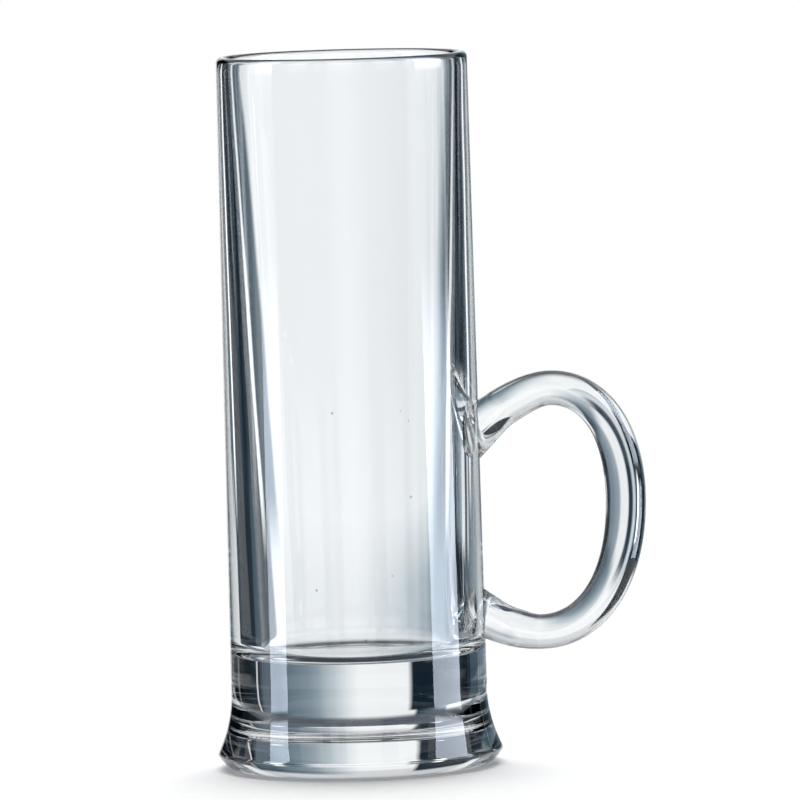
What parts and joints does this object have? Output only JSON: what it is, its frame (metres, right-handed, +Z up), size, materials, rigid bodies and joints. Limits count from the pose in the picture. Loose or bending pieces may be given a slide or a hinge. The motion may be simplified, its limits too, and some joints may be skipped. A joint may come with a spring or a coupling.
{
  "type": "handled shot glass",
  "caption": "Tall narrow clear glass tumbler for a small strong drink, with a thick solid base, a flared foot and an applied ring handle of round rod at the side.",
  "frame": {"origin": "middle of the flat underside, on the upright axis of the tumbler", "axes": "+Z up along the tumbler's axis; +X towards the handle; +Y across it, away from the viewer in the picture"},
  "size_m": [0.0648, 0.0426, 0.106],
  "materials": {
    "tumbler_glass": "clear pressed soda-lime glass, fire polished",
    "handle_glass": "clear drawn soda-lime glass, fire polished"
  },
  "bodies": {
    "root": {"tumbler": "tumbler_glass", "handle": "handle_glass"}
  },
  "joints": []
}
